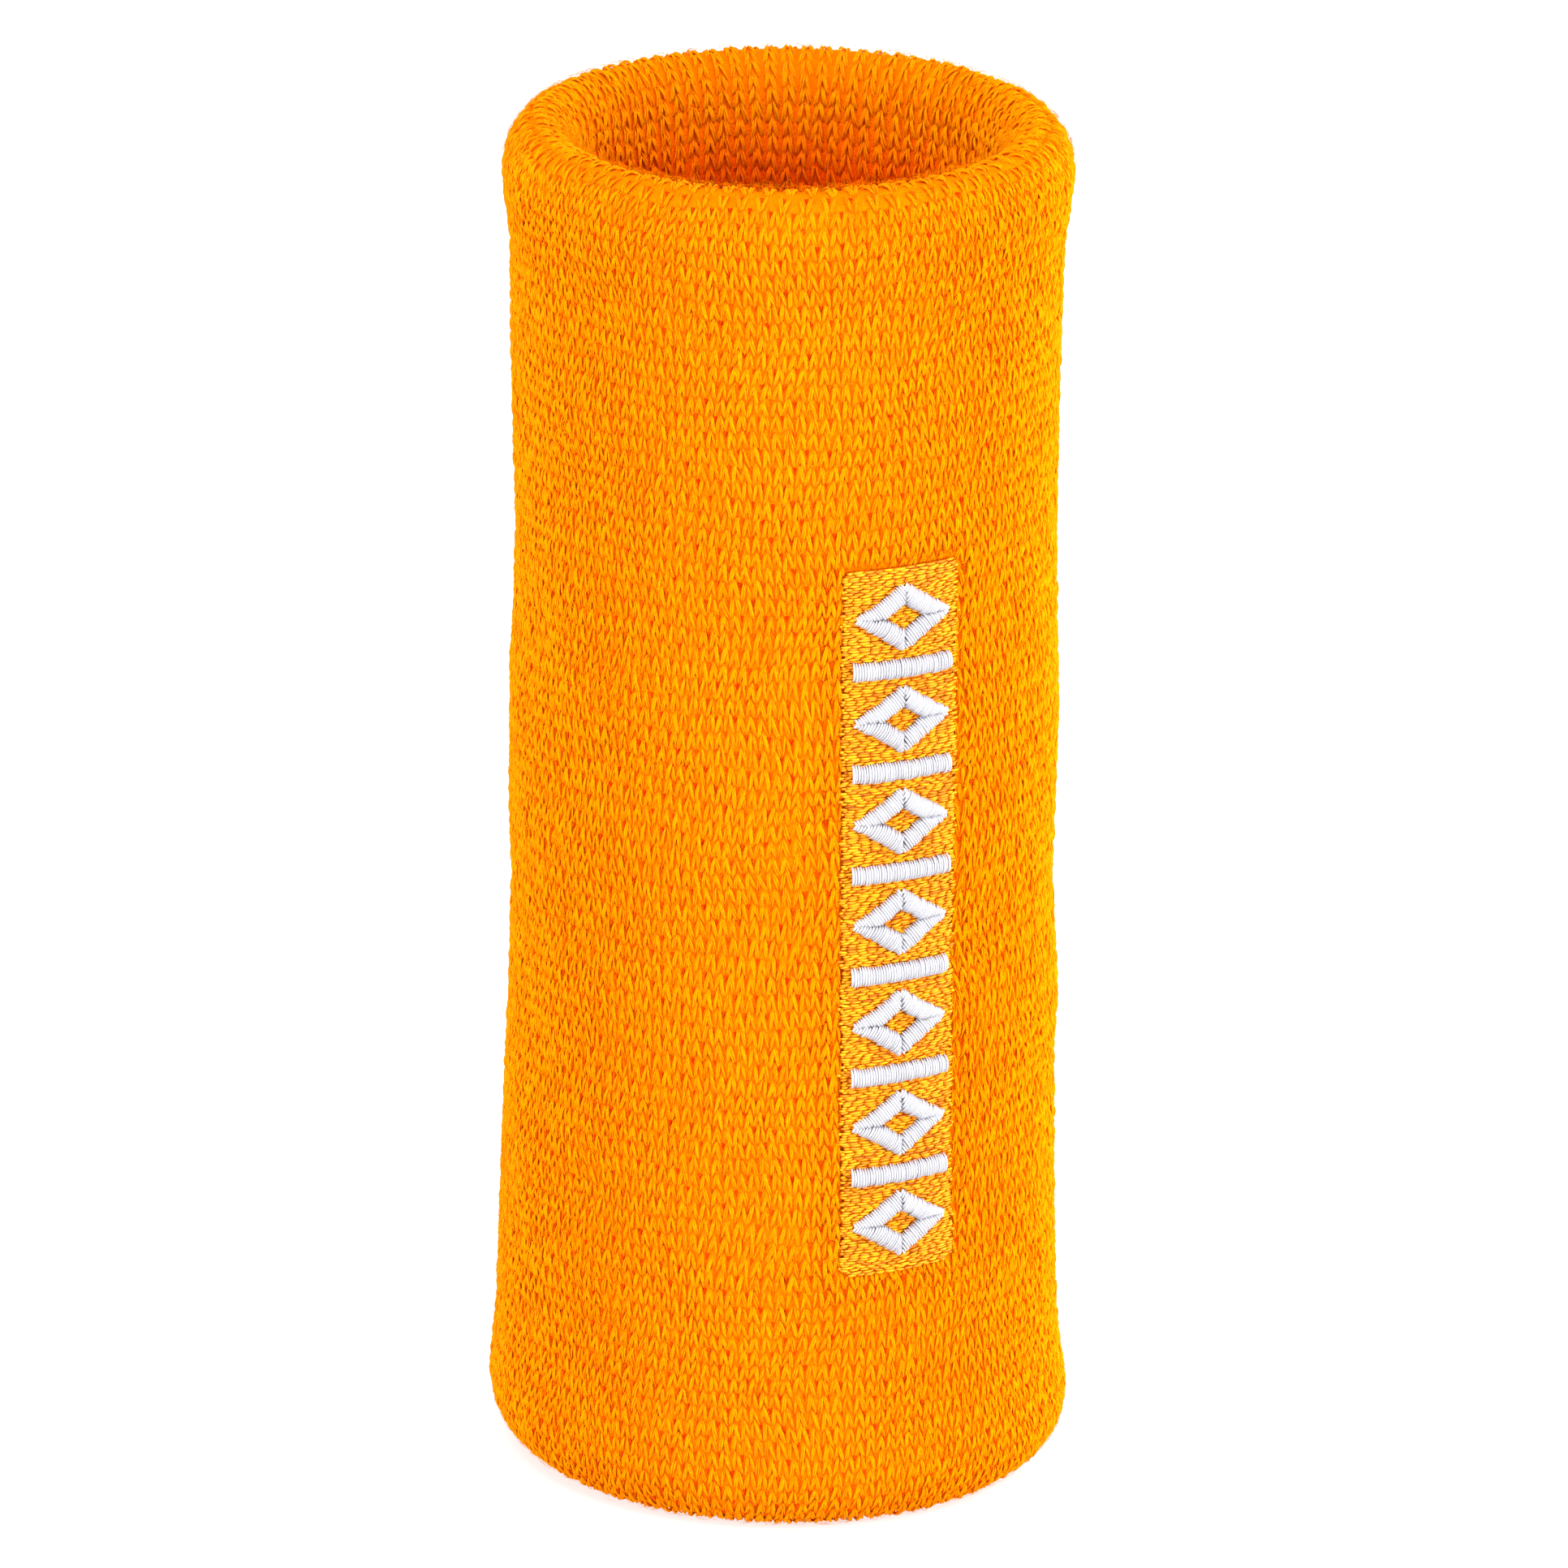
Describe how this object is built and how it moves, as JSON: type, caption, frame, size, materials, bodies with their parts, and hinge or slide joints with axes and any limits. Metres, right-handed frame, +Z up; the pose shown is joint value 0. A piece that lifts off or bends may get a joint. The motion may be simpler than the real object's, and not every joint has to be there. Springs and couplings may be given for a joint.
{
  "type": "sweat wristband",
  "caption": "Long bright orange knitted sweat wristband, a double-walled terry tube folded in at both ends, with a recessed upright panel of gold and white embroidery.",
  "frame": {"origin": "centre of the ring that the band stands on, at the bottom of its lower fold", "axes": "+Z up along the band's axis, out through the upper opening; -Y towards the embroidered panel; +X to the right as seen facing the panel"},
  "size_m": [0.0628, 0.0628, 0.15],
  "materials": {
    "orange_knit": "soft, slightly fuzzy ribbed knit of bulky polyester and cotton yarn",
    "orange_terry": "looped terry pile",
    "elastic_cover": "covered elastic yarn",
    "linking_thread": "soft knitted linking chain",
    "gold_fill_thread": "shiny rayon embroidery thread in flat fill stitch",
    "backing_felt": "non-woven cut-away backing",
    "white_bobbin_thread": "matt spun bobbin thread",
    "white_satin_thread": "shiny rayon embroidery thread in raised satin stitch"
  },
  "bodies": {
    "root": {"knit_tube": "orange_knit", "terry_pile": "orange_terry", "elastic_yarn": "elastic_cover", "closing_seam": "linking_thread", "fill_stitching": "gold_fill_thread", "embroidery_backing": "backing_felt", "bobbin_thread": "white_bobbin_thread", "satin_diamond_1": "white_satin_thread", "satin_bar_1": "white_satin_thread", "satin_diamond_2": "white_satin_thread", "satin_bar_2": "white_satin_thread", "satin_diamond_3": "white_satin_thread", "satin_bar_3": "white_satin_thread", "satin_diamond_4": "white_satin_thread", "satin_bar_4": "white_satin_thread", "satin_diamond_5": "white_satin_thread", "satin_bar_5": "white_satin_thread", "satin_diamond_6": "white_satin_thread", "satin_bar_6": "white_satin_thread", "satin_diamond_7": "white_satin_thread"}
  },
  "joints": []
}
